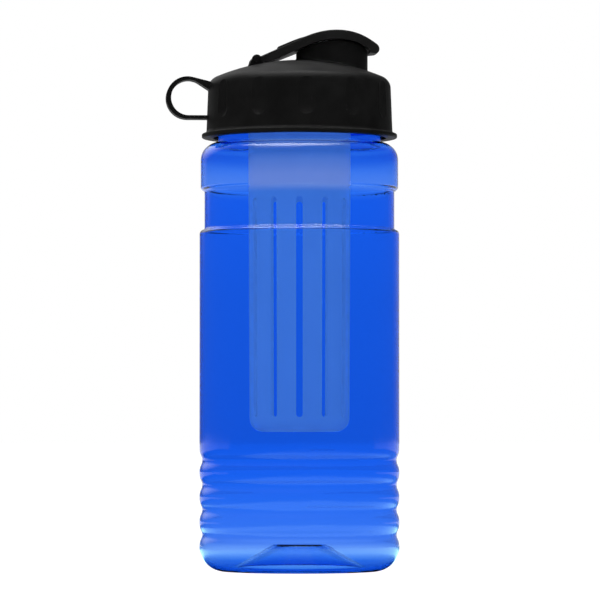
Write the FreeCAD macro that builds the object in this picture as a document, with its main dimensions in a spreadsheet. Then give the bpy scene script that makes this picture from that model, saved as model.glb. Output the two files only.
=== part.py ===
"""Fruit infuser water bottle: a ribbed blue bottle with a slotted basket inside and a black screw lid.

The origin is on the bottle's axis, on the surface that the bottle stands on. +Z is up, the spout is
towards +X and the carry loop towards -X. All sizes are in millimetres.
"""
import FreeCAD
import Part
import Sketcher
import math
import os
import re
from FreeCAD import Vector

SIZES = {
    # Bottle, from the foot up
    "body_radius": 36.5,
    "bottle_wall": 1.2,
    "base_corner": 9.2,
    "foot_ring_width": 3.8,
    "pushup_top_radius": 9.0,
    "pushup_height": 8.8,
    "rib_count": 4,
    "rib_pitch": 9.0,
    "rib_depth": 1.0,
    "rib_flat": 0.6,
    "rib_crest_share": 0.63,
    "panel_height": 80.0,
    "waist_height": 12.8,
    "waist_inset": 1.8,
    "edge_round": 1.6,
    "corner_round": 0.8,
    "band_inset": 0.4,
    "band_height": 18.3,
    "neck_inset": 6.7,
    "neck_height": 17.7,
    # Infuser basket and its cap
    "basket_share": 0.66,
    "basket_taper": 0.6,
    "basket_wall": 1.5,
    "basket_depth": 123.3,
    "basket_corner": 5.0,
    "flange_thickness": 1.5,
    "slot_count": 12,
    "slot_width": 2.4,
    "slot_turn": 4.3,
    "slot_top_drop": 38.2,
    "slot_foot_rise": 5.4,
    "drain_count": 8,
    "drain_radius": 1.5,
    "drain_circle_share": 0.5,
    "strainer_overlap": 2.6,
    "strainer_thickness": 1.5,
    "strainer_skirt": 6.0,
    "strainer_wall": 1.4,
    "strainer_clearance": 0.2,
    "strainer_hole_share": 0.35,
    "strainer_hole_margin": 2.6,
    "strainer_inner_count": 6,
    "strainer_outer_count": 12,
    "pull_radius": 4.0,
    "pull_height": 4.5,
    "pull_web": 2.0,
    # Lid shell and gasket
    "thread_space": 1.8,
    "lid_wall": 1.8,
    "lid_draft": 0.6,
    "rim_gap": 1.7,
    "bead_height": 1.6,
    "bead_reach": 1.7,
    "bead_round": 0.5,
    "lid_corner": 4.5,
    "dome_rise": 9.0,
    "dome_sag": 7.41,
    "gasket_thickness": 2.0,
    "gasket_width": 4.6,
    "gasket_clearance": 0.3,
    "keeper_wall": 1.2,
    "keeper_clearance": 0.3,
    "grip_count": 11,
    "grip_spacing": 30.0,
    "grip_depth": 0.6,
    "grip_round": 6.8,
    "grip_foot_rise": 10.1,
    "grip_top_drop": 0.9,
    # Carry loop
    "loop_azimuth": 180.0,
    "loop_length": 17.25,
    "loop_drop": 5.0,
    "loop_radius": 7.75,
    "loop_strand": 1.3,
    "loop_side_strand": 1.75,
    "loop_top_slope": 14.0,
    "loop_flare_slope": 33.0,
    "loop_width": 7.0,
    # Spout
    "spout_offset_share": 0.356,
    "spout_radius_share": 0.392,
    "spout_wall": 2.5,
    "spout_fillet": 1.0,
    "spout_lip_round": 0.6,
    # Hinge
    "hinge_share": 0.485,
    "hinge_rise": 1.26,
    "pin_radius": 0.8,
    "pin_clearance": 0.05,
    "knuckle_radius": 1.6,
    "knuckle_width": 13.0,
    "knuckle_clearance": 0.3,
    "ear_radius": 1.8,
    "ear_thickness": 2.2,
    "ear_foot": 1.4,
    # Flip cap and its seal
    "cap_rise": 10.1,
    "cap_thickness": 3.3,
    "cap_gap": 0.3,
    "cap_overhang": 2.2,
    "cap_edge_round": 0.7,
    "arch_share": 0.808,
    "crest_shift": 0.9,
    "arm_cover": 0.8,
    "arm_rib_share": 0.63,
    "arm_rib_height": 0.85,
    "arm_rib_width": 7.0,
    "tab_reach": 4.2,
    "tab_round": 8.0,
    "tab_trim": 0.45,
    "tab_drop": 1.3,
    "nose_round": 1.8,
    "seal_foot_rise": 0.7,
    "seal_floor": 1.3,
    "seal_wall": 1.6,
    "seal_top_clearance": 0.15,
    "seal_foot_clearance": 0.75,
    "seal_seat_gap": 0.05,
}

doc = FreeCAD.newDocument("infuser_bottle")
sheet = doc.addObject("Spreadsheet::Sheet", "sizes")
for row, (alias, size) in enumerate(SIZES.items(), start=1):
    sheet.set(f"A{row}", alias)
    sheet.set(f"B{row}", str(size))
    sheet.setAlias(f"B{row}", alias)
doc.recompute()

# Places that several pieces share, as formulas of the sheet's cells
FOOT_OUTER = "(body_radius - base_corner)"
FOOT_INNER = f"({FOOT_OUTER} - foot_ring_width)"
WAIST_BOTTOM = "(base_corner + rib_count * rib_pitch + panel_height)"
WAIST_TOP = f"({WAIST_BOTTOM} + waist_height)"
SHOULDER_TOP = f"({WAIST_TOP} + band_height)"
NECK_RADIUS = "(body_radius - neck_inset)"
NECK_RIM = f"({SHOULDER_TOP} + neck_height)"
FLANGE_TOP = f"({NECK_RIM} + flange_thickness)"
DECK = f"({FLANGE_TOP} + gasket_thickness)"
LID_TOP = f"({DECK} + dome_rise)"
LID_RIM = f"({SHOULDER_TOP} + rim_gap)"
LID_BORE = f"({NECK_RADIUS} + thread_space)"
SKIRT_TOP_RADIUS = f"({LID_BORE} + lid_wall)"
SKIRT_FOOT_RADIUS = f"({SKIRT_TOP_RADIUS} + lid_draft)"
GASKET_OUTER = f"({LID_BORE} - gasket_clearance)"
GASKET_INNER = f"({GASKET_OUTER} - gasket_width)"
BASKET_TOP_RADIUS = f"(({NECK_RADIUS} - bottle_wall) * basket_share)"
BASKET_FOOT_RADIUS = f"({BASKET_TOP_RADIUS} - basket_taper)"
MOUTH_RADIUS = f"({BASKET_TOP_RADIUS} - basket_wall)"
BASKET_FOOT = f"({NECK_RIM} - basket_depth)"
DOME_RADIUS = f"(({SKIRT_TOP_RADIUS}^2 + dome_sag^2) / (2 * dome_sag))"
DOME_CENTRE = f"({LID_TOP} - {DOME_RADIUS})"
HINGE_OFFSET = f"({SKIRT_TOP_RADIUS} * hinge_share)"
HINGE_X = f"(-{HINGE_OFFSET})"
HINGE_Z = f"({DOME_CENTRE} + sqrt({DOME_RADIUS}^2 - {HINGE_OFFSET}^2) + hinge_rise)"
EAR_INNER = "(knuckle_width / 2 + knuckle_clearance)"
CAP_TOP = f"({LID_TOP} + cap_rise)"
SPOUT_OFFSET = f"({SKIRT_TOP_RADIUS} * spout_offset_share)"
SPOUT_RADIUS = f"({SKIRT_TOP_RADIUS} * spout_radius_share)"
CREST_X = f"({SPOUT_OFFSET} + crest_shift)"
ARCH_RADIUS = f"({SKIRT_TOP_RADIUS} * arch_share)"
ARCH_CENTRE = f"({CAP_TOP} - cap_thickness - {ARCH_RADIUS})"
ARCH_TOP_RADIUS = f"({ARCH_RADIUS} + cap_thickness)"
ARM_TOP_Z = f"({HINGE_Z} + arm_cover)"
SPOUT_BORE = f"({SPOUT_RADIUS} - spout_wall)"
SEAL_FOOT = f"({LID_TOP} + seal_foot_rise)"
BOSS_RADIUS = f"({SPOUT_BORE} - seal_foot_clearance - seal_wall)"

START_INDEX, END_INDEX, CENTRE_INDEX = 1, 2, 3
LEFT, RIGHT = True, False
FULL_ANGLE = 360
TINY = 0.01


def formula(text):
    """Return the text as an expression: each name with an underscore is a cell of the sheet."""
    return re.sub(r"\b[a-z]+(?:_[a-z]+)+\b", r"sizes.\g<0>", text)


def number(text):
    """Work out a formula."""
    return float(sheet.evalExpression(formula(text)))


def bind(target, **formulas):
    """Tie properties of an object to formulas."""
    for name, text in formulas.items():
        target.setExpression(name, formula(text))


def grazing_angle(point, centre, radius):
    """Slope of the line that leaves a point towards +X and passes over a circle, touching it."""
    across = f"({centre[0]} - {point[0]})"
    up = f"({centre[1]} - {point[1]})"
    return f"(asin({radius} / sqrt({across}^2 + {up}^2)) + atan({up} / {across}))"


def arch_point(radius, slope, centre=ARCH_CENTRE):
    """Point of an arch over the spout, left of its crest, where the arch has the given slope."""
    return f"{CREST_X} - {radius} * sin({slope})", f"{centre} + {radius} * cos({slope})"


ARM_SLOPE = grazing_angle((HINGE_X, ARM_TOP_Z), (CREST_X, ARCH_CENTRE), ARCH_TOP_RADIUS)


class Outline:
    """One closed outline of a sketch, whose corners and radii are tied to the sheet."""

    def __init__(self, sketch, across, up):
        self.sketch = sketch
        self.first_corner = self.corner = (across, up)
        self.first_tip = self.tip = None

    def tie(self, tip, corner):
        for kind, text in zip(("DistanceX", "DistanceY"), corner):
            datum = Sketcher.Constraint(kind, -1, START_INDEX, *tip, number(text))
            self.bind_last(self.sketch.addConstraint(datum), text)

    def bind_last(self, index, text):
        self.sketch.setExpression(f"Constraints[{index}]", formula(text))

    def join(self, tail, head, corner):
        """Hang the tail of a new edge on the outline and tie its head to the corner that it reaches."""
        if self.tip is None:
            self.first_tip = tail
            self.tie(tail, self.corner)
        else:
            self.sketch.addConstraint(Sketcher.Constraint("Coincident", *self.tip, *tail))
        if corner == self.first_corner:
            self.sketch.addConstraint(Sketcher.Constraint("Coincident", *head, *self.first_tip))
        else:
            self.tie(head, corner)
        self.tip, self.corner = head, corner

    def line_to(self, across, up):
        ends = [Vector(number(x), number(y), 0) for x, y in (self.corner, (across, up))]
        edge = self.sketch.addGeometry(Part.LineSegment(*ends))
        self.join((edge, START_INDEX), (edge, END_INDEX), (across, up))
        return self

    def arc_to(self, across, up, radius, turn):
        """Go on along an arc of under half a circle that bends to the left or the right."""
        begin, finish = [Vector(number(x), number(y), 0) for x, y in (self.corner, (across, up))]
        size = number(radius)
        chord = finish - begin
        rise = math.sqrt(max(size**2 - chord.Length**2 / 4, 0))
        side = Vector(-chord.y, chord.x, 0).normalize() * rise
        middle = (begin + finish) * 0.5
        centre = middle + side if turn == LEFT else middle - side
        indices = (START_INDEX, END_INDEX)
        tail, head = indices if turn == LEFT else reversed(indices)
        ends = (begin, finish) if turn == LEFT else (finish, begin)
        angles = [math.atan2(p.y - centre.y, p.x - centre.x) for p in ends]
        circle = Part.Circle(centre, Vector(0, 0, 1), size)
        edge = self.sketch.addGeometry(Part.ArcOfCircle(circle, *angles))
        self.join((edge, tail), (edge, head), (across, up))
        self.bind_last(self.sketch.addConstraint(Sketcher.Constraint("Radius", edge, size)), radius)
        return self

    def close(self):
        return self.line_to(*self.first_corner)


def new_body(name):
    body = doc.addObject("PartDesign::Body", name)
    body.Label = name
    return body


def origin(body, role):
    """Find an origin plane or axis of a body by its role."""
    return next(item for item in body.Origin.OriginFeatures if item.Role == role)


def new_sketch(body, name, role, across="0", up="0", lift="0", turn=None):
    """Sketch on an origin plane, moved and, if asked, turned clockwise about its own upright axis."""
    sketch = body.newObject("Sketcher::SketchObject", name)
    sketch.AttachmentSupport = [(origin(body, role), "")]
    sketch.MapMode = "FlatFace"
    if turn:
        rotation = FreeCAD.Rotation(Vector(0, -1, 0), number(turn))
        sketch.AttachmentOffset = FreeCAD.Placement(Vector(), rotation)
        sketch.setExpression("AttachmentOffset.Rotation.Angle", formula(turn))
    for letter, text in zip("xyz", (across, up, lift)):
        sketch.setExpression(f"AttachmentOffset.Base.{letter}", formula(text))
    return sketch


def circle_sketch(body, name, role, radius, **place):
    """Sketch of one circle round the sketch's own origin."""
    sketch = new_sketch(body, name, role, **place)
    edge = sketch.addGeometry(Part.Circle(Vector(0, 0, 0), Vector(0, 0, 1), number(radius)))
    sketch.addConstraint(Sketcher.Constraint("Coincident", edge, CENTRE_INDEX, -1, START_INDEX))
    index = sketch.addConstraint(Sketcher.Constraint("Radius", edge, number(radius)))
    sketch.setExpression(f"Constraints[{index}]", formula(radius))
    return sketch


def feature(body, kind, name, sketch, **formulas):
    """Add a sketch-based feature and tie its sizes."""
    added = body.newObject(f"PartDesign::{kind}", name)
    added.Profile = sketch
    bind(added, **formulas)
    return added


def revolved(body, kind, name, sketch):
    """Turn a sketch once round its own upright axis."""
    added = feature(body, kind, name, sketch)
    added.ReferenceAxis = (sketch, ["V_Axis"])
    added.Angle = FULL_ANGLE
    return added


def across_both(added, **formulas):
    """Give a pad or pocket its length, half to each side of the sketch."""
    added.SideType = "Symmetric"
    bind(added, **formulas)
    return added


def through_all(pocket):
    """Let a pocket cut to both sides without an end."""
    pocket.SideType = "Symmetric"
    pocket.Type = "ThroughAll"
    return pocket


def patterned(body, name, originals, count, angle=str(FULL_ANGLE)):
    """Repeat features round the body's Z axis."""
    pattern = body.newObject("PartDesign::PolarPattern", name)
    pattern.Originals = originals
    pattern.Axis = (origin(body, "Z_Axis"), [""])
    bind(pattern, Angle=angle, Occurrences=count)
    body.Tip = pattern
    return pattern


def filleted(body, name, radius, wanted):
    """Round the edges of the body's last feature that the test wants."""
    doc.recompute()
    base = body.Tip
    edges = [f"Edge{i}" for i, edge in enumerate(base.Shape.Edges, start=1) if wanted(edge)]
    fillet = body.newObject("PartDesign::Fillet", name)
    fillet.Base = (base, edges)
    bind(fillet, Radius=radius)
    return fillet


def middle_of(edge):
    """Point half way along an edge."""
    return edge.valueAt((edge.FirstParameter + edge.LastParameter) / 2)


def from_spout_axis(point):
    """Distance of a point from the spout's upright axis."""
    return math.hypot(point.x - number(SPOUT_OFFSET), point.y)


def over_dome(point):
    """Height of a point over the lid's domed top."""
    radius = number(DOME_RADIUS)
    return point.z - number(DOME_CENTRE) - math.sqrt(radius**2 - point.x**2 - point.y**2)


def s_curve(outline, radius, next_radius, height, first, second, turn):
    """Two tangent arcs between upright walls, the first bending one way and the second the other."""
    step = f"abs({radius} - {next_radius})"
    rise = f"sqrt({step} * (2 * ({first} + {second}) - {step}))"
    share = f"{first} / ({first} + {second})"
    middle = f"{radius} + ({next_radius} - {radius}) * {share}"
    reached = f"({height} + {rise})"
    outline.arc_to(middle, f"{height} + {rise} * {share}", first, turn)
    outline.arc_to(next_radius, reached, second, not turn)
    return reached


def bottle_profile(sketch, inset):
    """Half section of the bottle, drawn at the outer surface or inset from it by the wall."""
    body_radius, neck_radius = f"(body_radius - {inset})", f"({NECK_RADIUS} - {inset})"
    waist_radius, band_radius = f"({body_radius} - waist_inset)", f"({body_radius} - band_inset)"
    valley_radius = f"({body_radius} - rib_depth)"
    rib_rise = "((rib_pitch - rib_flat) / 2)"
    rib_rounds = f"(({rib_rise}^2 + rib_depth^2) / (2 * rib_depth))"
    crest_round = f"({rib_rounds} * rib_crest_share - {inset})"
    valley_round = f"({rib_rounds} * (1 - rib_crest_share) + {inset})"
    edge_round, corner_round = f"max(edge_round - {inset}; corner_round / 2)", f"(corner_round + {inset})"
    slope_shift = f"{inset} * tan(atan(pushup_height / ({FOOT_INNER} - pushup_top_radius)) / 2)"
    shoulder = "(neck_inset - band_inset)"
    edge_foot = f"({WAIST_BOTTOM} - sqrt(waist_inset * (2 * (edge_round + corner_round) - waist_inset)))"

    outline = Outline(sketch, "0", f"pushup_height + {inset}")
    outline.line_to(f"pushup_top_radius + {slope_shift}", f"pushup_height + {inset}")
    outline.line_to(f"{FOOT_INNER} + {slope_shift}", inset)
    outline.line_to(FOOT_OUTER, inset)
    outline.arc_to(body_radius, "base_corner", f"base_corner - {inset}", LEFT)
    for index in range(int(sheet.rib_count)):
        crest = f"(base_corner + {index} * rib_pitch)"
        if index:
            outline.line_to(body_radius, crest)
        low = s_curve(outline, body_radius, valley_radius, crest, crest_round, valley_round, LEFT)
        s_curve(outline, valley_radius, body_radius, low, valley_round, crest_round, RIGHT)
    outline.line_to(body_radius, edge_foot)
    s_curve(outline, body_radius, waist_radius, edge_foot, edge_round, corner_round, LEFT)
    outline.line_to(waist_radius, WAIST_TOP)
    s_curve(outline, waist_radius, band_radius, WAIST_TOP, corner_round, edge_round, RIGHT)
    outline.line_to(band_radius, f"{SHOULDER_TOP} - {shoulder}")
    outline.arc_to(NECK_RADIUS, f"{SHOULDER_TOP} - {inset}", f"{shoulder} - {inset}", LEFT)
    if number(inset) > 0:
        outline.line_to(neck_radius, f"{SHOULDER_TOP} - {inset}")
    outline.line_to(neck_radius, NECK_RIM)
    outline.line_to("0", NECK_RIM)
    outline.close()


def make_bottle():
    """Blow-moulded bottle: the outer form is turned, then hollowed to the wall's thickness."""
    body = new_body("bottle")
    for kind, name, inset in (("Revolution", "bottle_form", "0"), ("Groove", "bottle_hollow", "bottle_wall")):
        sketch = new_sketch(body, f"{name}_profile", "XZ_Plane")
        bottle_profile(sketch, inset)
        revolved(body, kind, name, sketch)
    return body


def slot_outline(sketch, width, foot, top):
    """Upright slot with round ends, made of quarter circles and straight sides."""
    half = f"({width}) / 2"
    outline = Outline(sketch, half, f"{foot} + {half}")
    outline.line_to(half, f"{top} - {half}")
    outline.arc_to("0", top, half, LEFT)
    outline.arc_to(f"-({half})", f"{top} - {half}", half, LEFT)
    outline.line_to(f"-({half})", f"{foot} + {half}")
    outline.arc_to("0", foot, half, LEFT)
    outline.arc_to(half, f"{foot} + {half}", half, LEFT)


def make_infuser_basket():
    """Tapered cup with upright slots and drain holes, hung by its flange on the neck's rim."""
    body = new_body("infuser_basket")
    sketch = new_sketch(body, "basket_profile", "XZ_Plane")
    floor_radius = f"({BASKET_FOOT_RADIUS} - basket_corner)"
    corner_top = f"({BASKET_FOOT} + basket_corner)"
    floor_top = f"({BASKET_FOOT} + basket_wall)"
    outline = Outline(sketch, "0", BASKET_FOOT)
    outline.line_to(floor_radius, BASKET_FOOT)
    outline.arc_to(BASKET_FOOT_RADIUS, corner_top, "basket_corner", LEFT)
    outline.line_to(BASKET_TOP_RADIUS, NECK_RIM)
    outline.line_to(NECK_RADIUS, NECK_RIM)
    outline.line_to(NECK_RADIUS, FLANGE_TOP)
    outline.line_to(MOUTH_RADIUS, FLANGE_TOP)
    outline.line_to(f"{BASKET_FOOT_RADIUS} - basket_wall", corner_top)
    outline.arc_to(floor_radius, floor_top, "basket_corner - basket_wall", RIGHT)
    outline.line_to("0", floor_top)
    outline.close()
    revolved(body, "Revolution", "basket_form", sketch)

    slot_sketch = new_sketch(body, "slot_outline", "XZ_Plane", turn="slot_turn")
    slot_foot, slot_top = f"({BASKET_FOOT} + slot_foot_rise)", f"({NECK_RIM} - slot_top_drop)"
    slot_outline(slot_sketch, "slot_width", slot_foot, slot_top)
    slot = feature(body, "Pocket", "slot", slot_sketch)
    slot.Type = "ThroughAll"
    patterned(body, "slots", [slot], "slot_count")

    circle = f"{BASKET_FOOT_RADIUS} * drain_circle_share"
    drain_sketch = circle_sketch(body, "drain_outline", "XY_Plane", "drain_radius", across=circle)
    drain = through_all(feature(body, "Pocket", "drain", drain_sketch))
    patterned(body, "drains", [drain], "drain_count")
    return body


def make_infuser_cap():
    """Perforated cap that is pressed into the basket's mouth, with a pull knob on top."""
    body = new_body("infuser_cap")
    skirt = f"({MOUTH_RADIUS} - strainer_clearance)"
    skirt_inner = f"({skirt} - strainer_wall)"
    rim = f"({MOUTH_RADIUS} + strainer_overlap)"
    top = f"({FLANGE_TOP} + strainer_thickness)"
    outer_circle = f"({skirt_inner} - strainer_hole_margin)"
    inner_circle = f"((pull_radius + {outer_circle}) / 2)"
    hole_radius = f"({outer_circle} - {inner_circle}) * strainer_hole_share"
    sketch = new_sketch(body, "strainer_profile", "XZ_Plane")
    outline = Outline(sketch, "0", FLANGE_TOP)
    outline.line_to(skirt_inner, FLANGE_TOP)
    outline.line_to(skirt_inner, f"{FLANGE_TOP} - strainer_skirt")
    outline.line_to(skirt, f"{FLANGE_TOP} - strainer_skirt")
    outline.line_to(skirt, FLANGE_TOP)
    outline.line_to(rim, FLANGE_TOP)
    outline.line_to(rim, top)
    outline.line_to("pull_web", top)
    outline.line_to("pull_web", f"{top} + pull_height / 2")
    outline.line_to("pull_radius", f"{top} + pull_height / 2 + (pull_radius - pull_web) / 2")
    outline.line_to("pull_radius", f"{top} + pull_height")
    outline.line_to("0", f"{top} + pull_height")
    outline.close()
    revolved(body, "Revolution", "strainer_form", sketch)
    for ring, circle in (("inner", inner_circle), ("outer", outer_circle)):
        holes = circle_sketch(body, f"{ring}_hole_outline", "XY_Plane", hole_radius, across=circle)
        hole = through_all(feature(body, "Pocket", f"{ring}_hole", holes))
        patterned(body, f"{ring}_holes", [hole], f"strainer_{ring}_count")
    return body


def make_lid_gasket():
    """Flat ring between the basket's flange and the lid's deck."""
    body = new_body("lid_gasket")
    sketch = new_sketch(body, "gasket_profile", "XZ_Plane")
    outline = Outline(sketch, GASKET_INNER, FLANGE_TOP)
    outline.line_to(GASKET_OUTER, FLANGE_TOP)
    outline.line_to(GASKET_OUTER, DECK)
    outline.line_to(GASKET_INNER, DECK)
    outline.close()
    revolved(body, "Revolution", "gasket_form", sketch)
    return body


def lid_form(body):
    """Outer form of the lid: beaded rim, drafted skirt, round corner and domed top."""
    sketch = new_sketch(body, "lid_profile", "XZ_Plane")
    corner_x = f"({SKIRT_TOP_RADIUS} - lid_corner)"
    corner_z = f"({DOME_CENTRE} + sqrt(({DOME_RADIUS} - lid_corner)^2 - {corner_x}^2))"
    ratio = f"{DOME_RADIUS} / ({DOME_RADIUS} - lid_corner)"
    dome_end = f"{DOME_CENTRE} + ({corner_z} - {DOME_CENTRE}) * {ratio}"
    flare = "(bead_reach - bead_round)"
    bead_top = f"({LID_RIM} + bead_height)"
    bead_radius = f"({SKIRT_FOOT_RADIUS} + bead_reach)"
    outline = Outline(sketch, "0", LID_TOP)
    outline.arc_to(f"{corner_x} * {ratio}", dome_end, DOME_RADIUS, RIGHT)
    outline.arc_to(SKIRT_TOP_RADIUS, corner_z, "lid_corner", RIGHT)
    outline.line_to(SKIRT_FOOT_RADIUS, f"{bead_top} + {flare}")
    outline.arc_to(f"{SKIRT_FOOT_RADIUS} + {flare}", bead_top, flare, LEFT)
    outline.arc_to(bead_radius, f"{bead_top} - bead_round", "bead_round", RIGHT)
    outline.line_to(bead_radius, f"{LID_RIM} + bead_round")
    outline.arc_to(f"{bead_radius} - bead_round", LID_RIM, "bead_round", RIGHT)
    outline.line_to("0", LID_RIM)
    outline.close()
    revolved(body, "Revolution", "lid_form", sketch)


def lid_loop(body):
    """Carry loop: a flat strap that leaves the skirt level, goes round and flares into the lid's corner."""
    tip, middle = f"-({LID_BORE} + loop_length)", f"{DECK} - loop_drop"
    sketch = new_sketch(body, "loop_outline", "XZ_Plane", across=tip, up=middle)
    inner_height = "(loop_radius - loop_strand)"
    inner_x = f"(loop_side_strand + {inner_height})"
    top_x, top_z = "(loop_radius + loop_radius * sin(loop_top_slope))", "(loop_radius * cos(loop_top_slope))"
    flare_x = f"({inner_x} + {inner_height} * sin(loop_flare_slope))"
    flare_z = f"({inner_height} * cos(loop_flare_slope))"
    outline = Outline(sketch, "loop_length", "-loop_radius")
    outline.line_to("loop_radius", "-loop_radius")
    outline.arc_to("0", "0", "loop_radius", RIGHT)
    outline.arc_to(top_x, top_z, "loop_radius", RIGHT)
    outline.line_to("loop_length", f"{top_z} - (loop_length - {top_x}) * tan(loop_top_slope)")
    outline.line_to("loop_length", f"{flare_z} - (loop_length - {flare_x}) * tan(loop_flare_slope)")
    outline.line_to(flare_x, flare_z)
    outline.arc_to("loop_side_strand", "0", inner_height, LEFT)
    outline.arc_to(inner_x, f"-{inner_height}", inner_height, LEFT)
    outline.line_to("loop_length", f"-{inner_height}")
    outline.close()
    across_both(feature(body, "Pad", "carry_loop", sketch), Length="loop_width")


def arch_trim(body, name, rim_radius, reach):
    """Cut off what stands above an arch over the spout that is concentric with the flip cap's."""
    left, right = f"({SPOUT_OFFSET} - {reach})", f"({SPOUT_OFFSET} + {reach})"
    left_x, left_z = arch_point(rim_radius, ARM_SLOPE)
    right_z = f"{ARCH_CENTRE} + sqrt({rim_radius}^2 - ({right} - {CREST_X})^2)"
    above = f"{CAP_TOP} + cap_thickness"
    sketch = new_sketch(body, f"{name}_outline", "XZ_Plane")
    outline = Outline(sketch, left, above)
    outline.line_to(left, f"{left_z} - ({left_x} - {left}) * tan({ARM_SLOPE})")
    outline.line_to(left_x, left_z)
    outline.arc_to(right, right_z, rim_radius, RIGHT)
    outline.line_to(right, above)
    outline.close()
    through_all(feature(body, "Pocket", name, sketch))


def lid_spout(body):
    """Spout collar on the dome, with its top cut to the arch of the flip cap."""
    collar = circle_sketch(body, "spout_outline", "XY_Plane", SPOUT_RADIUS, across=SPOUT_OFFSET, lift=DECK)
    feature(body, "Pad", "spout_collar", collar, Length=f"{CAP_TOP} - {DECK}")
    arch_trim(body, "spout_rim", f"({ARCH_RADIUS} - cap_gap)", f"({SPOUT_RADIUS} + cap_gap / 2)")
    radius = number(SPOUT_RADIUS)

    def at_foot(edge):
        point = middle_of(edge)
        return abs(from_spout_axis(point) - radius) < TINY and abs(over_dome(point)) < TINY

    filleted(body, "spout_foot_round", "spout_fillet", at_foot)


def lid_ears(body):
    """Two hinge ears beside the knuckle's recess in the dome."""
    sketch = new_sketch(body, "ear_outline", "XZ_Plane", across=HINGE_X, up=HINGE_Z, lift=EAR_INNER)
    foot = "(ear_radius + ear_foot)"
    depth = "(hinge_rise + lid_wall)"
    outline = Outline(sketch, f"-{foot}", f"-{depth}")
    outline.line_to(foot, f"-{depth}")
    outline.line_to("ear_radius", "0")
    outline.arc_to("0", "ear_radius", "ear_radius", LEFT)
    outline.arc_to("-ear_radius", "0", "ear_radius", LEFT)
    outline.close()
    ear = feature(body, "Pad", "ear", sketch, Length="ear_thickness")
    ears = body.newObject("PartDesign::Mirrored", "ears")
    ears.Originals = [ear]
    ears.MirrorPlane = (origin(body, "XZ_Plane"), [""])
    body.Tip = ears
    recess = circle_sketch(
        body, "recess_outline", "XZ_Plane", "knuckle_radius + knuckle_clearance", across=HINGE_X, up=HINGE_Z
    )
    across_both(feature(body, "Pocket", "knuckle_recess", recess), Length=f"2 * {EAR_INNER}")
    hole = circle_sketch(body, "ear_hole_outline", "XZ_Plane", "pin_radius", across=HINGE_X, up=HINGE_Z)
    across_both(feature(body, "Pocket", "ear_holes", hole), Length=f"2 * ({EAR_INNER} + ear_thickness)")


def lid_cavity(body):
    """Inside of the lid: bore for the neck, deck over the gasket, the gasket's keeper ring and the dome."""
    keeper_outer = f"({GASKET_INNER} - gasket_clearance)"
    keeper_inner = f"({keeper_outer} - keeper_wall)"
    keeper_foot = f"({FLANGE_TOP} + keeper_clearance)"
    ceiling = f"({DOME_RADIUS} - lid_wall)"
    sketch = new_sketch(body, "cavity_profile", "XZ_Plane")
    outline = Outline(sketch, "0", LID_RIM)
    outline.line_to(LID_BORE, LID_RIM)
    outline.line_to(LID_BORE, DECK)
    outline.line_to(keeper_outer, DECK)
    outline.line_to(keeper_outer, keeper_foot)
    outline.line_to(keeper_inner, keeper_foot)
    outline.line_to(keeper_inner, f"{DOME_CENTRE} + sqrt({ceiling}^2 - {keeper_inner}^2)")
    outline.arc_to("0", f"{LID_TOP} - lid_wall", ceiling, LEFT)
    outline.close()
    revolved(body, "Groove", "lid_cavity", sketch)
    bore = circle_sketch(body, "spout_bore_outline", "XY_Plane", SPOUT_BORE, across=SPOUT_OFFSET, lift=DECK)
    spout_bore = feature(body, "Pocket", "spout_bore", bore, Length=f"{CAP_TOP} - {DECK}")
    spout_bore.Reversed = True
    radii = (number(SPOUT_RADIUS), number(SPOUT_BORE))

    def at_lip(edge):
        point = middle_of(edge)
        on_wall = any(abs(from_spout_axis(point) - radius) < TINY for radius in radii)
        return on_wall and over_dome(point) > number("spout_fillet") + TINY and edge.BoundBox.YLength > TINY

    filleted(body, "spout_lip_round", "spout_lip_round", at_lip)


def lid_grips(body):
    """Upright finger dimples round the skirt, as a round-ended cutter leaves them, with none at the loop."""
    axis = f"({SKIRT_TOP_RADIUS} - grip_depth + grip_round)"
    foot = f"({LID_RIM} + grip_foot_rise)"
    top = f"({DECK} - grip_top_drop)"
    first = "(loop_azimuth + grip_spacing)"
    sketch = new_sketch(
        body, "grip_profile", "XZ_Plane", across=f"{axis} * cos({first})", lift=f"-{axis} * sin({first})"
    )
    outline = Outline(sketch, "0", f"{foot} - grip_round")
    outline.arc_to("-grip_round", foot, "grip_round", RIGHT)
    outline.line_to("-grip_round", top)
    outline.arc_to("0", f"{top} + grip_round", "grip_round", RIGHT)
    outline.close()
    grip = revolved(body, "Groove", "grip", sketch)
    patterned(body, "grips", [grip], "grip_count", "(grip_count - 1) * grip_spacing")


def make_lid():
    """Screw lid in one moulding with its carry loop, spout and hinge ears."""
    body = new_body("lid")
    lid_form(body)
    lid_loop(body)
    lid_spout(body)
    lid_ears(body)
    lid_cavity(body)
    lid_grips(body)
    return body


def make_hinge_pin():
    """Straight pin, tight in the ears and free in the knuckle."""
    pin = doc.addObject("Part::Cylinder", "hinge_pin")
    pin.Label = "hinge_pin"
    pin.Placement = FreeCAD.Placement(Vector(), FreeCAD.Rotation(Vector(1, 0, 0), -90))
    half = f"({EAR_INNER} + ear_thickness)"
    bind(pin, Radius="pin_radius", Height=f"2 * {half}")
    pin.setExpression("Placement.Base.x", formula(HINGE_X))
    pin.setExpression("Placement.Base.y", formula(f"-{half}"))
    pin.setExpression("Placement.Base.z", formula(HINGE_Z))
    return pin


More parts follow.
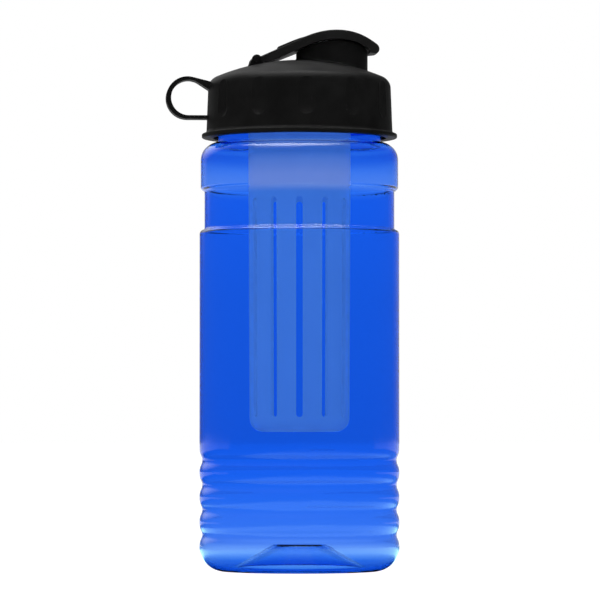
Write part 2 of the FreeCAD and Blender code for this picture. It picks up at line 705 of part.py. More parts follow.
def cap_leaf(body):
    """Arched leaf: a straight arm from the hinge, an arch over the spout and a drooping thumb tab."""
    reach = f"({SPOUT_OFFSET} + {SPOUT_RADIUS} + tab_reach)"
    nose_x = f"({reach} - nose_round)"
    nose_swing = f"({ARCH_TOP_RADIUS} - nose_round)"
    nose_z = f"({ARCH_CENTRE} + sqrt({nose_swing}^2 - ({nose_x} - {CREST_X})^2))"
    ratio = f"{ARCH_TOP_RADIUS} / {nose_swing}"
    lip_x = f"({SPOUT_OFFSET} + {SPOUT_RADIUS} + cap_gap)"
    lip_z = f"({ARCH_CENTRE} + sqrt({ARCH_RADIUS}^2 - ({lip_x} - {CREST_X})^2))"
    sketch = new_sketch(body, "leaf_profile", "XZ_Plane")
    outline = Outline(sketch, HINGE_X, ARM_TOP_Z)
    outline.line_to(*arch_point(ARCH_TOP_RADIUS, ARM_SLOPE))
    outline.arc_to(
        f"{CREST_X} + ({nose_x} - {CREST_X}) * {ratio}",
        f"{ARCH_CENTRE} + ({nose_z} - {ARCH_CENTRE}) * {ratio}",
        ARCH_TOP_RADIUS,
        RIGHT,
    )
    outline.arc_to(reach, nose_z, "nose_round", RIGHT)
    outline.arc_to(nose_x, f"{nose_z} - nose_round", "nose_round", RIGHT)
    outline.line_to(lip_x, f"{lip_z} - tab_drop")
    outline.line_to(lip_x, lip_z)
    outline.arc_to(*arch_point(ARCH_RADIUS, ARM_SLOPE), ARCH_RADIUS, LEFT)
    outline.line_to(HINGE_X, f"{ARM_TOP_Z} - cap_thickness / cos({ARM_SLOPE})")
    outline.close()
    cover = f"({SPOUT_RADIUS} + cap_overhang)"
    across_both(feature(body, "Pad", "leaf", sketch), Length=f"2 * {cover}")

    plan = new_sketch(body, "leaf_plan", "XY_Plane")
    margin_x, margin_y = f"({reach} + cap_overhang)", f"({cover} + cap_overhang)"
    back = f"({HINGE_X} - cap_thickness)"
    frame_back = f"({back} - cap_overhang)"
    frame = Outline(plan, frame_back, f"-{margin_y}")
    frame.line_to(margin_x, f"-{margin_y}")
    frame.line_to(margin_x, margin_y)
    frame.line_to(frame_back, margin_y)
    frame.close()
    half = "(knuckle_width / 2)"
    waist_x = f"({HINGE_X} + ear_radius + ear_foot)"
    slope = grazing_angle((waist_x, half), (SPOUT_OFFSET, "0"), cover)
    side_x, side_y = f"{SPOUT_OFFSET} - {cover} * sin({slope})", f"{cover} * cos({slope})"
    tip_x = f"({reach} + tab_trim - tab_round)"
    turn = f"acos(({cover} - tab_round) / ({tip_x} - {SPOUT_OFFSET}))"
    far_x, far_y = f"({SPOUT_OFFSET} + {cover} * cos({turn}))", f"({cover} * sin({turn}))"
    tab_x, tab_y = f"({tip_x} + tab_round * cos({turn}))", f"(tab_round * sin({turn}))"
    leaf = Outline(plan, back, half)
    leaf.line_to(waist_x, half)
    leaf.line_to(side_x, side_y)
    leaf.arc_to(far_x, far_y, cover, RIGHT)
    leaf.line_to(tab_x, tab_y)
    leaf.arc_to(tab_x, f"-{tab_y}", "tab_round", RIGHT)
    leaf.line_to(far_x, f"-{far_y}")
    leaf.arc_to(side_x, f"-({side_y})", cover, RIGHT)
    leaf.line_to(waist_x, f"-{half}")
    leaf.line_to(back, f"-{half}")
    leaf.close()
    through_all(feature(body, "Pocket", "leaf_trim", plan))
    crest_x, centre_z, radius = number(CREST_X), number(ARCH_CENTRE), number(ARCH_TOP_RADIUS)
    slope = math.radians(number(ARM_SLOPE))
    arm_end = crest_x - radius * math.sin(slope)

    def on_top_rim(edge):
        point = middle_of(edge)
        across, up = point.x - crest_x, point.z - centre_z
        on_arm = point.x < arm_end
        reached = up * math.cos(slope) - across * math.sin(slope) if on_arm else math.hypot(across, up)
        return abs(reached - radius) < TINY and abs(point.y) > TINY

    filleted(body, "leaf_rim_round", "cap_edge_round", on_top_rim)


def cap_dome_clearance(body):
    """Keep the arm's underside clear of the lid's dome."""
    over = f"({DOME_RADIUS} + cap_gap)"
    reach = f"({HINGE_OFFSET} + cap_thickness)"
    sketch = new_sketch(body, "dome_clearance_profile", "XZ_Plane")
    outline = Outline(sketch, "0", DECK)
    outline.line_to(reach, DECK)
    outline.line_to(reach, f"{DOME_CENTRE} + sqrt({over}^2 - {reach}^2)")
    outline.arc_to("0", f"{LID_TOP} + cap_gap", over, LEFT)
    outline.close()
    revolved(body, "Groove", "dome_clearance", sketch)


def cap_arm_rib(body):
    """Raised rib along the arm that runs out at the crest of the arch."""
    rib_radius = f"({ARCH_TOP_RADIUS} + arm_rib_height / (1 - cos({ARM_SLOPE})))"
    middle_radius = f"({ARCH_RADIUS} + cap_thickness / 2)"
    top_x, top_z = arch_point(rib_radius, ARM_SLOPE, f"({CAP_TOP} - {rib_radius})")
    back = f"({HINGE_X} + ({top_x} - {HINGE_X}) * arm_rib_share)"
    low_x, low_z = arch_point(middle_radius, ARM_SLOPE)
    sketch = new_sketch(body, "arm_rib_profile", "XZ_Plane")
    outline = Outline(sketch, back, f"{low_z} - ({low_x} - {back}) * tan({ARM_SLOPE})")
    outline.line_to(back, f"{top_z} - ({top_x} - {back}) * tan({ARM_SLOPE})")
    outline.line_to(top_x, top_z)
    outline.arc_to(CREST_X, CAP_TOP, rib_radius, RIGHT)
    outline.line_to(CREST_X, f"{CAP_TOP} - cap_thickness / 2")
    outline.arc_to(low_x, low_z, middle_radius, LEFT)
    outline.close()
    across_both(feature(body, "Pad", "arm_rib", sketch), Length="arm_rib_width")


def make_flip_cap():
    """Flip cap with its hinge knuckle and the boss that carries the seal."""
    body = new_body("flip_cap")
    cap_leaf(body)
    cap_dome_clearance(body)
    cap_arm_rib(body)
    knuckle = circle_sketch(body, "knuckle_outline", "XZ_Plane", "knuckle_radius", across=HINGE_X, up=HINGE_Z)
    across_both(feature(body, "Pad", "knuckle", knuckle), Length="knuckle_width")
    bore = "pin_radius + pin_clearance"
    pin_bore = circle_sketch(body, "pin_bore_outline", "XZ_Plane", bore, across=HINGE_X, up=HINGE_Z)
    across_both(feature(body, "Pocket", "pin_bore", pin_bore), Length="2 * knuckle_width")
    boss_foot = f"({SEAL_FOOT} + seal_floor)"
    boss = circle_sketch(body, "boss_outline", "XY_Plane", BOSS_RADIUS, across=SPOUT_OFFSET, lift=boss_foot)
    feature(body, "Pad", "seal_boss", boss, Length=f"{CAP_TOP} - cap_thickness / 2 - {boss_foot}")
    return body


def make_spout_seal():
    """Soft cup on the cap's boss that plugs the spout, with its rim cut to the leaf's underside."""
    body = new_body("spout_seal")
    crest = f"({CAP_TOP} - cap_thickness)"
    foot_radius = f"({SPOUT_BORE} - seal_foot_clearance)"
    top_radius = f"({SPOUT_BORE} - seal_top_clearance)"
    sketch = new_sketch(body, "seal_profile", "XZ_Plane", across=SPOUT_OFFSET)
    outline = Outline(sketch, "0", SEAL_FOOT)
    outline.line_to(foot_radius, SEAL_FOOT)
    outline.line_to(top_radius, crest)
    outline.line_to(BOSS_RADIUS, crest)
    outline.line_to(BOSS_RADIUS, f"{SEAL_FOOT} + seal_floor")
    outline.line_to("0", f"{SEAL_FOOT} + seal_floor")
    outline.close()
    revolved(body, "Revolution", "seal_form", sketch)
    arch_trim(body, "seal_rim", f"({ARCH_RADIUS} - seal_seat_gap)", SPOUT_RADIUS)
    return body


MAKERS = (
    make_bottle,
    make_infuser_basket,
    make_infuser_cap,
    make_lid_gasket,
    make_lid,
    make_hinge_pin,
    make_flip_cap,
    make_spout_seal,
)
parts = [make() for make in MAKERS]
doc.recompute()
failed = [item.Name for item in doc.Objects if {"Invalid", "Error"} & set(item.State)]
failed += [part.Label for part in parts if part.Shape.isNull() or not part.Shape.isValid()]
if failed:
    raise RuntimeError(f"These objects failed: {failed}")
os.makedirs("parts", exist_ok=True)
for part in parts:
    part.Shape.exportStep(f"parts/{part.Label}.step")
    print(part.Label, len(part.Shape.Solids), "solid, volume", round(part.Shape.Volume, 1), "mm3")
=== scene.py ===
# %% [markdown]
# # Fruit infuser water bottle
#
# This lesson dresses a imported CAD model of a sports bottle: a clear blue body with grip ribs, a
# frosted basket hung inside it, and a black screw lid with a flip cap and a carry loop. The CAD
# model already has the right shapes and sizes, so the work here is light, finishes and the small
# forms that are too fine for the CAD source: the screw threads and the covers on the hinge.
#
# The frame is loaded first. Its pieces arrive selected, and an operator acts on everything that
# is selected, so the first habit to learn is to deselect before making anything new.

# %% Load the frame
import math

import bpy
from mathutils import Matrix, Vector


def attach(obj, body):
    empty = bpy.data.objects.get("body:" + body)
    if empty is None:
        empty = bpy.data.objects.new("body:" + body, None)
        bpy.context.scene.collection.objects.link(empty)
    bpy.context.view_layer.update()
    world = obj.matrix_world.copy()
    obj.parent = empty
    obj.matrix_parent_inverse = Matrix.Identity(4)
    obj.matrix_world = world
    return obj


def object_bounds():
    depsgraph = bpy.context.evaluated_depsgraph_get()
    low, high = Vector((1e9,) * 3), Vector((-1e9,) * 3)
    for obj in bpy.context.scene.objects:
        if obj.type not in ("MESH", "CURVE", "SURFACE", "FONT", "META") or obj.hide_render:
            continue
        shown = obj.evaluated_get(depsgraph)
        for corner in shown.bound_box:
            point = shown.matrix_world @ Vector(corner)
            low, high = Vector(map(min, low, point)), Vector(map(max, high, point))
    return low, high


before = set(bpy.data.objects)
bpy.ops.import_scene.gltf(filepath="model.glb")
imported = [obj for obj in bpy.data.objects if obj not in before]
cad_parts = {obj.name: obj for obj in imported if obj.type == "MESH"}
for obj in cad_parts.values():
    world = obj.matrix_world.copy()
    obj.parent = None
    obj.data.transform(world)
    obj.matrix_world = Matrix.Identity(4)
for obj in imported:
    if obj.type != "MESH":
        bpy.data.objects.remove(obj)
cad_low, cad_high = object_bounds()
bpy.ops.object.select_all(action="DESELECT")
print("pieces from the CAD model:", sorted(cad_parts))
print("size in mm:", [round(1000 * (high - low), 1) for low, high in zip(cad_low, cad_high)])

# %% [markdown]
# ## Camera
#
# The rim of the lid and the steps of the waist curve up in the middle of the picture, more so the
# higher they are, and that gives the lens's height and distance: a metre and a half away and not
# far above the ribs. From there it looks up by less than two degrees at the bottle's middle, too
# little for the sides to lean in.

# %% Camera
VIEW_WIDTH = 0.219
VIEW_DISTANCE = 1.5
VIEW_AZIMUTH = math.radians(-4.3)
EYE_HEIGHT = 0.05
FRAME_MIDDLE = Vector((0.0002, 0.0, 0.0989))
SENSOR_WIDTH_MM = 36.0

bpy.ops.object.camera_add()
camera = bpy.context.object
camera.name = "photo_camera"
camera.location = (
    FRAME_MIDDLE.x + VIEW_DISTANCE * math.sin(VIEW_AZIMUTH),
    -VIEW_DISTANCE * math.cos(VIEW_AZIMUTH),
    EYE_HEIGHT,
)
camera.rotation_euler = (FRAME_MIDDLE - camera.location).to_track_quat("-Z", "Y").to_euler()
camera.data.sensor_width = SENSOR_WIDTH_MM
camera.data.lens = SENSOR_WIDTH_MM * VIEW_DISTANCE / VIEW_WIDTH
bpy.context.scene.camera = camera
print("lens in mm:", round(camera.data.lens, 1))

# %% [markdown]
# ## Node helpers
#
# A material or a world is a small tree of nodes. A few helpers keep the trees readable. They set
# a node's sockets, add a node, join two sockets, and do sums on numbers and on vectors. A number
# that is the same all over a surface is set on the shader's own socket and never sent through a
# node.

# %% Node helpers
def set_sockets(node, sockets):
    """Set sockets by name, with _ for a space."""
    for name, value in sockets.items():
        node.inputs[name.replace("_", " ")].default_value = value


def add_node(tree, kind, settings=None, **sockets):
    """Add a node and give it its settings and sockets."""
    node = tree.nodes.new(kind)
    for name, value in (settings or {}).items():
        setattr(node, name, value)
    set_sockets(node, sockets)
    return node


def join(tree, source, target):
    """Link an output to an input."""
    tree.links.new(source, target)


def operate(tree, kind, operation, operands):
    """Add a node of maths. An operand is a socket to join or a value to set."""
    node = add_node(tree, kind, {"operation": operation})
    for socket, operand in zip(node.inputs, operands):
        if isinstance(operand, bpy.types.NodeSocket):
            join(tree, operand, socket)
        else:
            socket.default_value = operand
    return node


def maths(tree, operation, *operands):
    """Number made from numbers."""
    return operate(tree, "ShaderNodeMath", operation, operands).outputs["Value"]


def vector_maths(tree, operation, *operands):
    """Vector made from vectors."""
    return operate(tree, "ShaderNodeVectorMath", operation, operands).outputs["Vector"]


def vector_measure(tree, operation, *operands):
    """Number made from vectors, such as a length."""
    return operate(tree, "ShaderNodeVectorMath", operation, operands).outputs["Value"]


print("node helpers ready")

# %% [markdown]
# A ramp turns a number into a colour, and a choice turns two shaders into one. The renderer tells
# what kind of ray has met a surface, so a choice by the kind of ray lets the eye, a shiny surface
# and a matt surface each find something different.

# %% Ramps and choices
SIGHT = ("Is Camera Ray", "Is Transmission Ray")
MIRRORING = ("Is Glossy Ray",)


def ramp_node(tree, source, stops):
    """Colour ramp over a value, with stops as (place, colour)."""
    ramp = add_node(tree, "ShaderNodeValToRGB")
    elements = ramp.color_ramp.elements
    while len(elements) < len(stops):
        elements.new(0.5)
    for element, (place, colour) in zip(elements, stops):
        element.position = place
        element.color = (*colour, 1.0)
    join(tree, source, ramp.inputs["Fac"])
    return ramp.outputs["Color"]


def grey_ramp(tree, source, levels, ceiling=1.0):
    """Ramp of greys over a value, with stops as (place, level), each divided by the ceiling."""
    stops = [(place, (level / ceiling,) * 3) for place, level in levels]
    return ramp_node(tree, source, stops)


def ray_is(tree, kinds):
    """One where a ray is of any of the kinds, and zero elsewhere."""
    path = add_node(tree, "ShaderNodeLightPath")
    found = path.outputs[kinds[0]]
    for kind in kinds[1:]:
        found = maths(tree, "MAXIMUM", found, path.outputs[kind])
    return found


def choose(tree, factor, first, second):
    """The first shader where the factor is 0, and the second where it is 1."""
    mix = add_node(tree, "ShaderNodeMixShader")
    join(tree, factor, mix.inputs["Fac"])
    join(tree, first, mix.inputs[1])
    join(tree, second, mix.inputs[2])
    return mix.outputs["Shader"]


print("ramps and choices ready")

# %% [markdown]
# ## Studio
#
# The picture is a cut-out on white. The world is white where the eye looks straight at it or
# through clear plastic. What shines mirrors a studio instead. It is dark at eye level, so the
# upright walls keep their deep colour. A softbox overhead draws the pale lines on the shoulder
# and on the step under the waist. A second one behind on the left lights the lid's dome, a pale
# strip behind on the right lightens that edge, and a backdrop straight behind is mirrored at both
# edges. Matt surfaces get a plain, even light.
#
# The levels of the mirrored lights are divided by a ceiling, so that the ramps stay between black
# and white, and the strength of the background brings them back.

# %% World
WHITE = (1.0, 1.0, 1.0, 1.0)
AMBIENT = 0.92
CEILING = 24.0
MIRRORED_LIGHTS = (
    # Softbox overhead
    ((-0.08, 0.0, 1.0), ((0.0, 0.08), (0.5, 0.2), (0.79, 0.6), (0.84, 6.0), (0.9, 22.0))),
    # Second softbox, behind the bottle on the left
    ((-0.42, 0.74, 0.52), ((0.87, 0.0), (0.95, 1.5), (1.0, 2.8))),
    # Pale strip behind the bottle on the right
    ((0.4, 0.92, 0.0), ((0.9, 0.0), (0.96, 0.12), (1.0, 0.3))),
    # Backdrop straight behind the bottle
    ((0.075, 1.0, 0.03), ((0.95, 0.0), (0.985, 0.4), (1.0, 0.9))),
)

world = bpy.data.worlds.new("white_studio")
bpy.context.scene.world = world
world.use_nodes = True
tree = world.node_tree
tree.nodes.clear()
direction = add_node(tree, "ShaderNodeTexCoord").outputs["Generated"]
glows = []
for aim, levels in MIRRORED_LIGHTS:
    closeness = vector_measure(tree, "DOT_PRODUCT", direction, Vector(aim).normalized())
    glows.append(grey_ramp(tree, closeness, levels, CEILING))
all_glows = glows[0]
for glow in glows[1:]:
    all_glows = vector_maths(tree, "ADD", all_glows, glow)
plain = add_node(tree, "ShaderNodeBackground", Color=WHITE, Strength=AMBIENT).outputs[0]
mirrored = add_node(tree, "ShaderNodeBackground", Strength=CEILING)
join(tree, all_glows, mirrored.inputs["Color"])
backdrop = add_node(tree, "ShaderNodeBackground", Color=WHITE, Strength=1.0).outputs[0]
lit_by = choose(tree, ray_is(tree, MIRRORING), plain, mirrored.outputs[0])
seen = choose(tree, ray_is(tree, SIGHT), lit_by, backdrop)
join(tree, seen, add_node(tree, "ShaderNodeOutputWorld").inputs["Surface"])
bpy.context.scene.view_settings.view_transform = "Standard"
print("world nodes:", len(tree.nodes))

# %% [markdown]
# ## Floor
#
# The floor is a large pale sheet that lies a hair under the foot, so that the two faces don't
# coincide.

# %% Floor
FLOOR_SIZE = 40.0
FLOOR_DROP = 0.0003

bpy.ops.mesh.primitive_plane_add(size=FLOOR_SIZE, location=(0.0, 0.0, -FLOOR_DROP))
floor = bpy.context.object
floor.name = "floor"
print("floor across in m:", FLOOR_SIZE)

# %% [markdown]
# Seen by the eye the sheet glows almost to white, so that no horizon shows, and the rest of its
# brightness is real light, so the bottle still leaves a soft shadow on it.
#
# What shines sees a painted glow in place of the sheet: painted blue light pooled near the
# bottle, with painted shadow in a ring right round the foot. The undersides of the grip ribs are
# therefore pale in the middle and on the right, where the glow is painted, and the foot mirrors
# the painted shadow. Far behind the bottle the painted glow is even.

# %% Floor finish
FLOOR_GLOW = 0.85
PAINTED_FLOOR_SHEEN = 2.0
SEEN_PAPER = (0.3, 0.3, 0.3, 1.0)
LIT_PAPER = (0.8, 0.8, 0.8, 1.0)
PAINTED_LIGHT_HALF_WIDTH = 0.5
# Painted light that only shiny surfaces see: a pool across and around the bottle, painted blue
# near it, with painted shadow right round the foot, and an even painted glow far behind.
PAINTED_LIGHT_ACROSS = ((-0.088, 0.06), (-0.07, 0.7), (-0.05, 0.85), (0.06, 0.8), (0.4, 0.3))
PAINTED_LIGHT_AROUND = ((0.044, 0.0), (0.056, 1.0), (0.11, 1.0), (0.17, 0.15))
PAINTED_LIGHT_BEHIND = ((0.2, 0.0), (0.35, 0.5))
PAINTED_BLUE_NEAR = Vector((1.0, 1.9, 2.0))

paper = bpy.data.materials.new("pale_paper")
paper.use_nodes = True
tree = paper.node_tree
tree.nodes.clear()
where = add_node(tree, "ShaderNodeTexCoord").outputs["Object"]
axes = add_node(tree, "ShaderNodeSeparateXYZ")
join(tree, where, axes.inputs["Vector"])
across = add_node(tree, "ShaderNodeMapRange", From_Min=-PAINTED_LIGHT_HALF_WIDTH, From_Max=PAINTED_LIGHT_HALF_WIDTH)
join(tree, axes.outputs["X"], across.inputs["Value"])
levels = [((place / PAINTED_LIGHT_HALF_WIDTH + 1.0) / 2.0, level) for place, level in PAINTED_LIGHT_ACROSS]
painted_light_across = grey_ramp(tree, across.outputs["Result"], levels)
painted_light_around = grey_ramp(tree, vector_measure(tree, "LENGTH", where), PAINTED_LIGHT_AROUND)
painted_light_behind = grey_ramp(tree, axes.outputs["Y"], PAINTED_LIGHT_BEHIND)
painted_light_near = vector_maths(tree, "MULTIPLY", painted_light_across, painted_light_around)
painted_blue_light = vector_maths(tree, "MULTIPLY", painted_light_near, PAINTED_BLUE_NEAR)
painted_light_sheet = vector_maths(tree, "MAXIMUM", painted_blue_light, painted_light_behind)
# The painted sheen: a glow seen only in reflections, standing in for light and shadow on the
# sheet.
painted_sheen = add_node(tree, "ShaderNodeEmission", Strength=PAINTED_FLOOR_SHEEN)
join(tree, painted_light_sheet, painted_sheen.inputs["Color"])
seen_paper = add_node(tree, "ShaderNodeBsdfDiffuse", Color=SEEN_PAPER)
glow = add_node(tree, "ShaderNodeEmission", Color=WHITE, Strength=FLOOR_GLOW)
to_white = add_node(tree, "ShaderNodeAddShader")
join(tree, seen_paper.outputs["BSDF"], to_white.inputs[0])
join(tree, glow.outputs["Emission"], to_white.inputs[1])
lit_paper = add_node(tree, "ShaderNodeBsdfDiffuse", Color=LIT_PAPER).outputs["BSDF"]
lit_by = choose(tree, ray_is(tree, MIRRORING), lit_paper, painted_sheen.outputs["Emission"])
seen = choose(tree, ray_is(tree, SIGHT), lit_by, to_white.outputs["Shader"])
join(tree, seen, add_node(tree, "ShaderNodeOutputMaterial").inputs["Surface"])
floor.data.materials.append(paper)
print("floor nodes:", len(tree.nodes))

# %% [markdown]
# ## Lamp
#
# One large soft lamp hangs over the bottle, a little to the left and in front, where the pale
# patches on the dome and the flip cap say it was.

# %% Lamp
LAMP_PLACE = Vector((-0.25, -0.30, 0.95))
LAMP_SIZE = 0.7
LAMP_WATTS = 2.5

bpy.ops.object.light_add(type="AREA", location=LAMP_PLACE)
softbox = bpy.context.object
softbox.name = "softbox"
softbox.data.size = LAMP_SIZE
softbox.data.energy = LAMP_WATTS
middle_of_bottle = (cad_low + cad_high) / 2
softbox.rotation_euler = (middle_of_bottle - LAMP_PLACE).to_track_quat("-Z", "Y").to_euler()
print("softbox watts:", LAMP_WATTS)

# %% [markdown]
# ## Finish helpers
#
# Every finish starts from a Principled shader and is varied by noise. The noise is placed by
# Object coordinates, which belong to the piece, so the pattern stays on it when a joint moves.
# Noise is used in three ways: as a colour, as a height that tilts the surface, and as a
# roughness.

# %% Finish helpers
EVEN = (1.0, 1.0, 1.0)


def new_finish(name, **sockets):
    """New material, its node tree, and its shader with some sockets set."""
    finish = bpy.data.materials.new(name)
    finish.use_nodes = True
    shader = finish.node_tree.nodes["Principled BSDF"]
    set_sockets(shader, sockets)
    return finish, finish.node_tree, shader


def place_on_object(tree, scale):
    """Object coordinates stretched by a scale for each axis."""
    where = add_node(tree, "ShaderNodeTexCoord")
    mapping = add_node(tree, "ShaderNodeMapping", Scale=scale)
    join(tree, where.outputs["Object"], mapping.inputs["Vector"])
    return mapping.outputs["Vector"]


def height_on_object(tree):
    """Third of the Object coordinates."""
    where = add_node(tree, "ShaderNodeTexCoord")
    axes = add_node(tree, "ShaderNodeSeparateXYZ")
    join(tree, where.outputs["Object"], axes.inputs["Vector"])
    return axes.outputs["Z"]


def noise(tree, per_metre, stretch=EVEN, detail=2.0):
    """Noise of so many grains to the metre, with an axis below one drawn out."""
    texture = add_node(tree, "ShaderNodeTexNoise", Scale=per_metre, Detail=detail)
    join(tree, place_on_object(tree, stretch), texture.inputs["Vector"])
    return texture.outputs["Fac"]


def bump(tree, shader, height, strength, distance):
    """Let a height change the direction of the surface."""
    node = add_node(tree, "ShaderNodeBump", Strength=strength, Distance=distance)
    join(tree, height, node.inputs["Height"])
    join(tree, node.outputs["Normal"], shader.inputs["Normal"])


def rough_between(tree, shader, source, smooth, rough):
    """Spread a value of 0 to 1 over a range of roughness."""
    spread = add_node(tree, "ShaderNodeMapRange", To_Min=smooth, To_Max=rough)
    join(tree, source, spread.inputs["Value"])
    join(tree, spread.outputs["Result"], shader.inputs["Roughness"])


print("finish helpers ready")

# %% [markdown]
# Clear plastics also let light pass straight on its way to a matt surface. Light from a lamp that
# bends through a wall is seldom found by the renderer, and what is inside would stay too dark.
# The last helper gives a finish to pieces of the CAD model.

# %% Passing light and dressing
def surface_of(tree):
    """Input of the material's output, where its last shader goes."""
    return tree.nodes["Material Output"].inputs["Surface"]


def lamps_pass(tree, shader, tint):
    """Diffuse and shadow rays go straight through, with a tint, so that what is inside is lit."""
    clear = add_node(tree, "ShaderNodeBsdfTransparent", Color=(*tint, 1.0)).outputs["BSDF"]
    surface = shader.outputs["BSDF"]
    for kind in ("Is Diffuse Ray", "Is Shadow Ray"):
        surface = choose(tree, ray_is(tree, (kind,)), surface, clear)
    join(tree, surface, surface_of(tree))


def dress(finish, *names):
    """Give a finish to pieces of the CAD model."""
    for name in names:
        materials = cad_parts[name].data.materials
        materials.clear()
        materials.append(finish)
    print(finish.name, "with", len(finish.node_tree.nodes), "nodes on", *names)


print("passing light and dressing ready")

# %% [markdown]
# ## Tint of the blue wall, with painted light
#
# The body is blown from tinted clear plastic. A ray that crosses a wall loses most of its red and
# much of its green, and after two walls white has become the deep blue of the panel. A ramp over
# the height makes the wall paler at the shoulder band and darker at the thick foot. A pale ring
# just above the foot is painted light, the brightness of the floor seen through the base, and a
# pale ring where the shoulder turns into the neck is a painted highlight. The pushed-up middle of
# the base, which a level ray crosses two times more, is paler too.

# %% Tint of the blue wall
BOTTLE_HEIGHT = 0.175
WALL_TINTS_WITH_PAINTED_LIGHT = (
    # Thick foot, then a pale ring above it, painted light of the floor seen through
    (0.0020, (0.06, 0.26, 0.78)),
    (0.0055, (0.29, 0.52, 0.92)),
    (0.0080, (0.365, 0.56, 0.925)),
    # Grip ribs
    (0.0110, (0.205, 0.405, 0.88)),
    (0.0180, (0.165, 0.385, 0.895)),
    (0.0290, (0.11, 0.343, 0.885)),
    (0.0370, (0.085, 0.32, 0.885)),
    # Panel and waist
    (0.0475, (0.074, 0.292, 0.835)),
    (0.0990, (0.078, 0.304, 0.855)),
    (0.1370, (0.082, 0.322, 0.91)),
    # Shoulder band
    (0.1395, (0.26, 0.465, 0.937)),
    (0.1430, (0.255, 0.465, 0.94)),
    (0.1480, (0.165, 0.395, 0.92)),
    (0.1510, (0.07, 0.275, 0.835)),
    (0.1530, (0.07, 0.275, 0.835)),
    # Painted highlight as a pale ring, then the neck
    (0.1542, (0.17, 0.42, 0.925)),
    (0.1553, (0.2, 0.46, 0.93)),
    (0.1559, (0.07, 0.27, 0.83)),
)
RECESS_RADIUS = 0.0235
RECESS_EDGE = 0.002
RECESS_TINT = (0.51, 0.74, 0.965, 1.0)
COLOUR_A, COLOUR_B, COLOUR_RESULT = 6, 7, 2


def colour_or_source(tree, factor, colour, source):
    """A plain colour where the factor is 0, and the source's where it is 1."""
    mix = add_node(tree, "ShaderNodeMix", {"data_type": "RGBA"})
    join(tree, factor, mix.inputs["Factor"])
    mix.inputs[COLOUR_A].default_value = colour
    join(tree, source, mix.inputs[COLOUR_B])
    return mix.outputs[COLOUR_RESULT]


def wall_tint_with_painted_light(tree):
    """Colour that one wall gives to white light, by height, with painted light and the paler
    recess.
    """
    height = add_node(tree, "ShaderNodeMapRange", From_Max=BOTTLE_HEIGHT)
    join(tree, height_on_object(tree), height.inputs["Value"])
    stops = [(place / BOTTLE_HEIGHT, colour) for place, colour in WALL_TINTS_WITH_PAINTED_LIGHT]
    by_height = ramp_node(tree, height.outputs["Result"], stops)
    radius = vector_measure(tree, "LENGTH", place_on_object(tree, (1.0, 1.0, 0.0)))
    past_recess = add_node(
        tree, "ShaderNodeMapRange", From_Min=RECESS_RADIUS - RECESS_EDGE, From_Max=RECESS_RADIUS
    )
    join(tree, radius, past_recess.inputs["Value"])
    return colour_or_source(tree, past_recess.outputs["Result"], RECESS_TINT, by_height)


print("tints of the wall:", len(WALL_TINTS_WITH_PAINTED_LIGHT))

# %% [markdown]
# Only the outside of the wall carries the tint, so a ray that grazes the wall at the edge of the
# picture is tinted twice like any other and the edge keeps the body's colour. The outside is told
# from the way the surface faces: away from the bottle's middle, with the height squashed so that
# the tall body is more like a ball.

# %% Outside of the wall
SQUASH = 0.25


def outer_side(tree):
    """1 on the outside of the bottle and 0 on its inside."""
    middle = (0.0, 0.0, SQUASH * BOTTLE_HEIGHT / 2)
    squashed = place_on_object(tree, (1.0, 1.0, SQUASH))
    from_middle = vector_maths(tree, "SUBTRACT", squashed, middle)
    surface = add_node(tree, "ShaderNodeNewGeometry")
    facing = vector_measure(tree, "DOT_PRODUCT", from_middle, surface.outputs["True Normal"])
    # The renderer turns the normal to the ray on a back face, and this sign turns it back
    sign = maths(tree, "MULTIPLY_ADD", surface.outputs["Backfacing"], -2.0, 1.0)
    outward = maths(tree, "MULTIPLY", facing, sign)
    return maths(tree, "GREATER_THAN", outward, 0.0)


print("middle of the bottle in mm:", 1000 * BOTTLE_HEIGHT / 2)

# %% [markdown]
# ## Clear blue plastic
#
# The shader takes the square root of its colour at a face, because light usually crosses both
# faces of a wall. Here the outer face does all the work, so the tint is squared first.
#
# A clear coat carries the shine. The plastic under it bends light only a little, so that the
# rounded steps stay bright. A wide shallow noise gives the wall the slight waves of a blown
# surface, and a fine one gives it scuffs.

# %% Clear blue plastic
WAVES_PER_METRE = 60.0
WAVE_STRETCH = (1.0, 1.0, 0.35)
SCUFFS_PER_METRE = 400.0

blue_plastic, tree, shader = new_finish(
    "clear_blue_plastic",
    Transmission_Weight=1.0,
    IOR=1.1,
    Specular_IOR_Level=0.0,
    Coat_Weight=0.25,
    Coat_Roughness=0.03,
)
# The tint carries painted light in two pale rings, above the foot and under the neck.
tint = wall_tint_with_painted_light(tree)
squared = vector_maths(tree, "MULTIPLY", tint, tint)
join(tree, colour_or_source(tree, outer_side(tree), WHITE, squared), shader.inputs["Base Color"])
waves = noise(tree, WAVES_PER_METRE, WAVE_STRETCH)
bump(tree, shader, waves, strength=0.05, distance=0.002)
scuffs = noise(tree, SCUFFS_PER_METRE, detail=4.0)
rough_between(tree, shader, scuffs, smooth=0.02, rough=0.06)
lamps_pass(tree, shader, tint=(0.97, 0.9, 1.0))
dress(blue_plastic, "bottle")

# %% [markdown]
# ## Frosted basket
#
# The basket and its strainer cap are natural polypropylene, which is milky: part of the light
# goes through, and part is scattered back as a pale veil. The veil is a little uneven, and the
# moulded surface has a very fine grain.

# %% Frosted basket
CLOUDS_PER_METRE = 90.0
CLOUD_STRETCH = (1.0, 1.0, 0.5)
FROST_PER_METRE = 2500.0
MILK = ((0.3, (0.81, 0.87, 0.93)), (0.7, (0.87, 0.92, 0.97)))

frosted, tree, shader = new_finish("frosted_plastic", Transmission_Weight=0.61, IOR=1.15)
clouds = noise(tree, CLOUDS_PER_METRE, CLOUD_STRETCH, detail=3.0)
join(tree, ramp_node(tree, clouds, MILK), shader.inputs["Base Color"])
frost = noise(tree, FROST_PER_METRE)
bump(tree, shader, frost, strength=0.04, distance=0.0003)
rough_between(tree, shader, clouds, smooth=0.04, rough=0.09)
lamps_pass(tree, shader, tint=(0.85, 0.86, 0.88))
dress(frosted, "infuser_basket", "infuser_cap")
